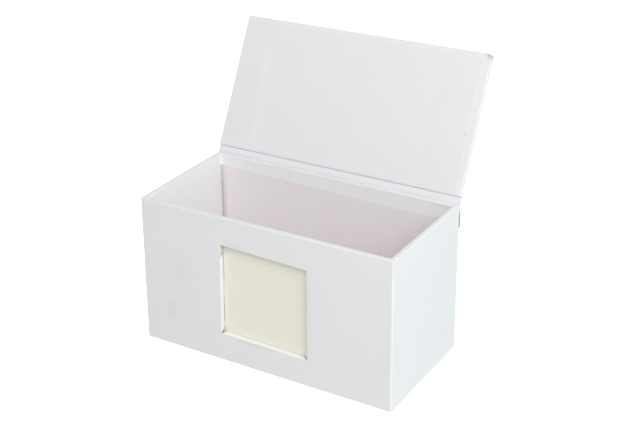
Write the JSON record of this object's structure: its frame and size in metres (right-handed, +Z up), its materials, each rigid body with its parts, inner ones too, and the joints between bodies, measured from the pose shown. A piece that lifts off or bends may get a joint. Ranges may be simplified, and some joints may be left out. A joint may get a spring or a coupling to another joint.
{
  "type": "card box",
  "caption": "Rigid rectangular card box covered in white paper, with a square window backed by a cream card in its front wall and a flat lid on a paper hinge along the back.",
  "frame": {"origin": "middle of the underside, on the surface the box stands on", "axes": "+Z up, +X along the box to its right end as seen from the front, -Y out of the front wall with the window"},
  "size_m": [0.2, 0.1517, 0.2076],
  "materials": {
    "greyboard": "matt grey-brown board",
    "white_paper": "smooth bluish white covering paper, faint sheen",
    "lining_paper": "matt white lining paper with a faint pink cast",
    "cream_card": "matt cream card",
    "gummed_tape": "matt brown gummed paper tape"
  },
  "bodies": {
    "box": {"base_board": "greyboard", "front_board": "greyboard", "back_board": "greyboard", "left_board": "greyboard", "right_board": "greyboard", "corner_stay_front_left": "gummed_tape", "corner_stay_front_right": "gummed_tape", "corner_stay_back_left": "gummed_tape", "corner_stay_back_right": "gummed_tape", "floor_lining": "lining_paper", "front_lining": "lining_paper", "back_lining": "lining_paper", "left_lining": "lining_paper", "right_lining": "lining_paper", "wrap_front_and_sides": "white_paper", "wrap_back": "white_paper", "base_sheet": "white_paper", "window_card": "cream_card", "hinge_flap": "white_paper"},
    "lid": {"lid_board": "greyboard", "lid_cover": "white_paper", "lid_liner": "white_paper"}
  },
  "joints": [
    {"name": "lid_hinge", "type": "hinge", "parent": "box", "child": "lid", "pos_m": [0, 0.05235, 0.11415], "axis": [-1, 0, 0], "range_deg": [-117.2, 132.8]}
  ]
}
